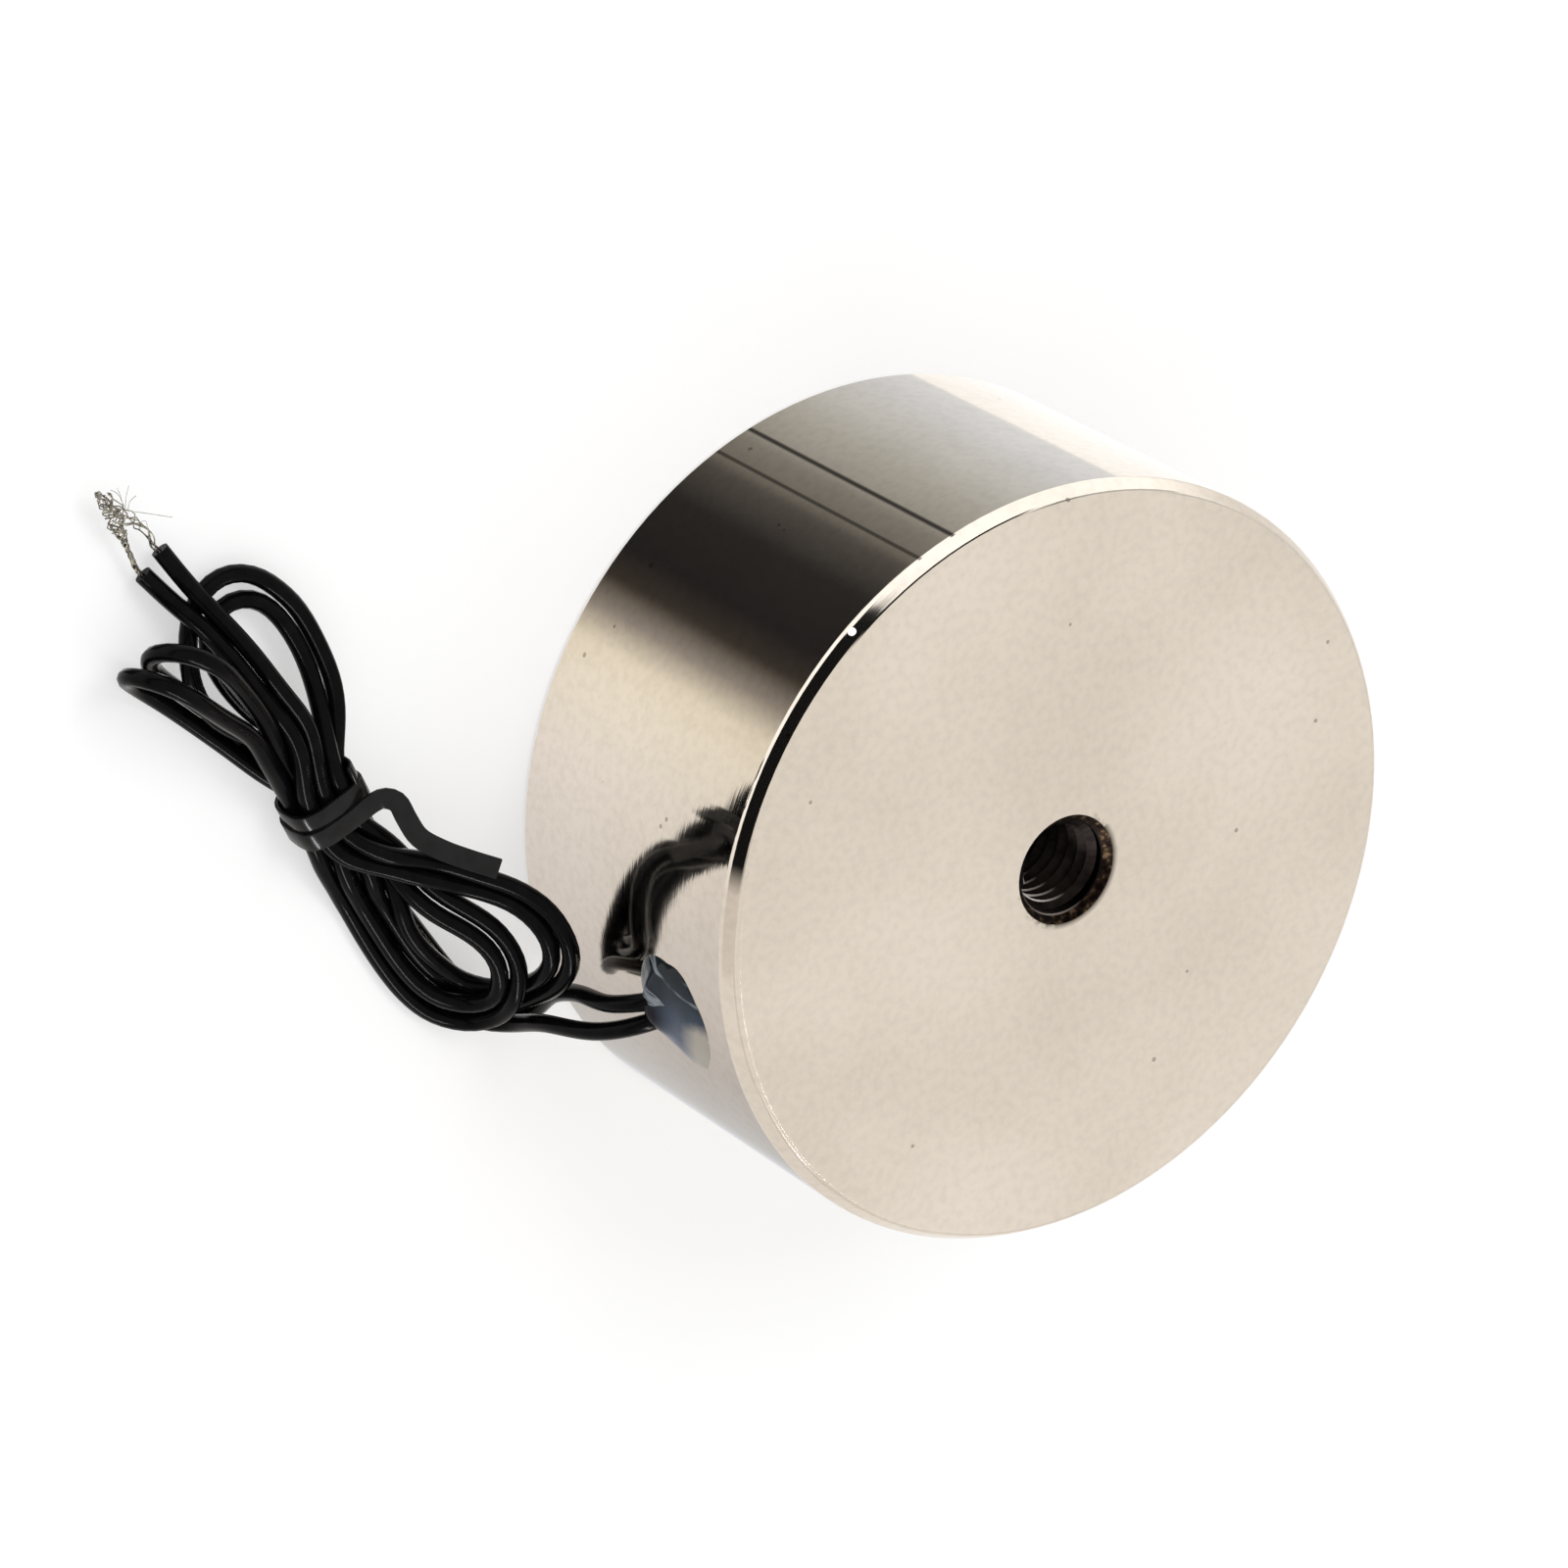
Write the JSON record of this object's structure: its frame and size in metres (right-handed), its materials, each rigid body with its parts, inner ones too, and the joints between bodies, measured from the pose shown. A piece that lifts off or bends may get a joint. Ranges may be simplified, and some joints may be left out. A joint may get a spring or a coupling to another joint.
{
  "type": "holding electromagnet",
  "caption": "Round nickel-plated holding electromagnet with a central mounting thread in its back, a sealed side exit and two tied black flying leads.",
  "frame": {"origin": "centre of the holding face, which the part stands on", "axes": "+Z along the pot axis from the holding face to the back face with the thread, +X towards the lead exit in the side"},
  "size_m": [0.0972, 0.0865, 0.03],
  "materials": {
    "nickel_plate": "bright nickel plate over turned steel, warm and slightly mottled",
    "bobbin_nylon": "moulded nylon",
    "enamelled_copper": "enamelled copper wire",
    "coil_tape": "polyester tape",
    "potting_resin": "cast black resin",
    "solder": "bright solder",
    "sleeve": "shrink sleeve",
    "tinned_copper": "tinned copper strands",
    "clear_sealant": "glossy translucent blue-grey resin",
    "lead_pvc": "glossy black PVC insulation",
    "tie_strip": "black plastic strip"
  },
  "bodies": {
    "root": {"pot_body": "nickel_plate", "coil_bobbin": "bobbin_nylon", "coil_winding": "enamelled_copper", "coil_tape": "coil_tape", "potting_resin": "potting_resin", "winding_start": "enamelled_copper", "winding_finish": "enamelled_copper", "solder_joint_a": "solder", "solder_joint_b": "solder", "splice_sleeve_a": "sleeve", "splice_sleeve_b": "sleeve", "conductor_a": "tinned_copper", "conductor_b": "tinned_copper", "exit_sealant": "clear_sealant", "lead_a": "lead_pvc", "lead_b": "lead_pvc", "lead_hank": "lead_pvc", "lead_end_a": "lead_pvc", "lead_end_b": "lead_pvc", "strands_a": "tinned_copper", "strands_b": "tinned_copper", "lead_tie": "tie_strip"}
  },
  "joints": []
}
